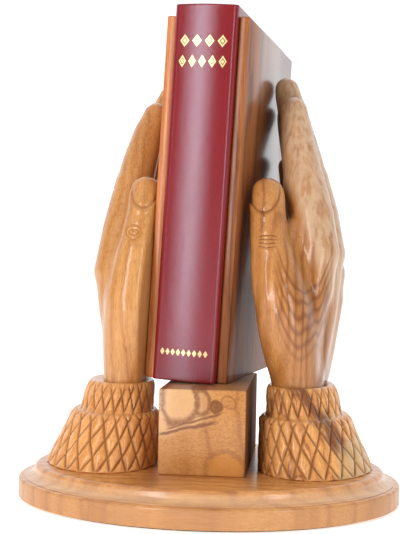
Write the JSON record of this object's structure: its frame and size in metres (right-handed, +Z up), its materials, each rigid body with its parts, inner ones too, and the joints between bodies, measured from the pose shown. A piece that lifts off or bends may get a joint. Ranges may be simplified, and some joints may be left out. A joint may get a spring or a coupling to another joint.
{
  "type": "bible stand",
  "caption": "Carved olive-wood praying hands in flared cuffs on a stepped oval base, holding a leather and wood bound book upright on a centre block; the book lifts out.",
  "frame": {"origin": "centre of the felt underside, on the surface that the stand rests on", "axes": "+Z up, +X to the right of someone who faces the book's spine, +Y away from them"},
  "size_m": [0.207, 0.2084, 0.2675],
  "materials": {
    "felt": "dense wool felt pad",
    "base_olive_wood": "lacquered olive wood",
    "block_olive_wood": "lacquered olive wood with a strong dark figure",
    "cuff_olive_wood": "carved and lacquered olive wood",
    "hand_olive_wood": "carved, polished and lacquered olive wood",
    "board_olive_wood": "polished olive wood board",
    "burgundy_leather": "fine-grained burgundy bookbinding leather",
    "grey_card": "bookbinder's board",
    "endpaper": "plain endpaper",
    "page_paper": "thin page paper in a solid block",
    "lining_cloth": "spine lining cloth",
    "band_silk": "half-round sewn silk band",
    "gold_foil": "stamped gold foil",
    "screw_steel": "zinc-plated countersunk wood screw"
  },
  "bodies": {
    "stand": {"base_felt": "felt", "base_lower_board": "base_olive_wood", "base_upper_board": "base_olive_wood", "centre_block": "block_olive_wood", "block_screws": "screw_steel", "left_cuff_screws": "screw_steel", "left_cuff": "cuff_olive_wood", "left_hand": "hand_olive_wood", "right_cuff_screws": "screw_steel", "right_cuff": "cuff_olive_wood", "right_hand": "hand_olive_wood"},
    "book": {"leather_cover": "burgundy_leather", "back_wooden_board": "board_olive_wood", "front_wooden_board": "board_olive_wood", "back_cover_card": "grey_card", "front_cover_card": "grey_card", "spine_card": "grey_card", "back_endpaper": "endpaper", "front_endpaper": "endpaper", "text_block": "page_paper", "spine_lining": "lining_cloth", "tail_band": "band_silk", "head_band": "band_silk", "head_ornament": "gold_foil", "foot_ornament": "gold_foil"}
  },
  "joints": [
    {"name": "book_lift", "type": "slide", "parent": "stand", "child": "book", "axis": [0.0448, -0.0073, 0.999], "range_m": [0, 0.19]}
  ]
}
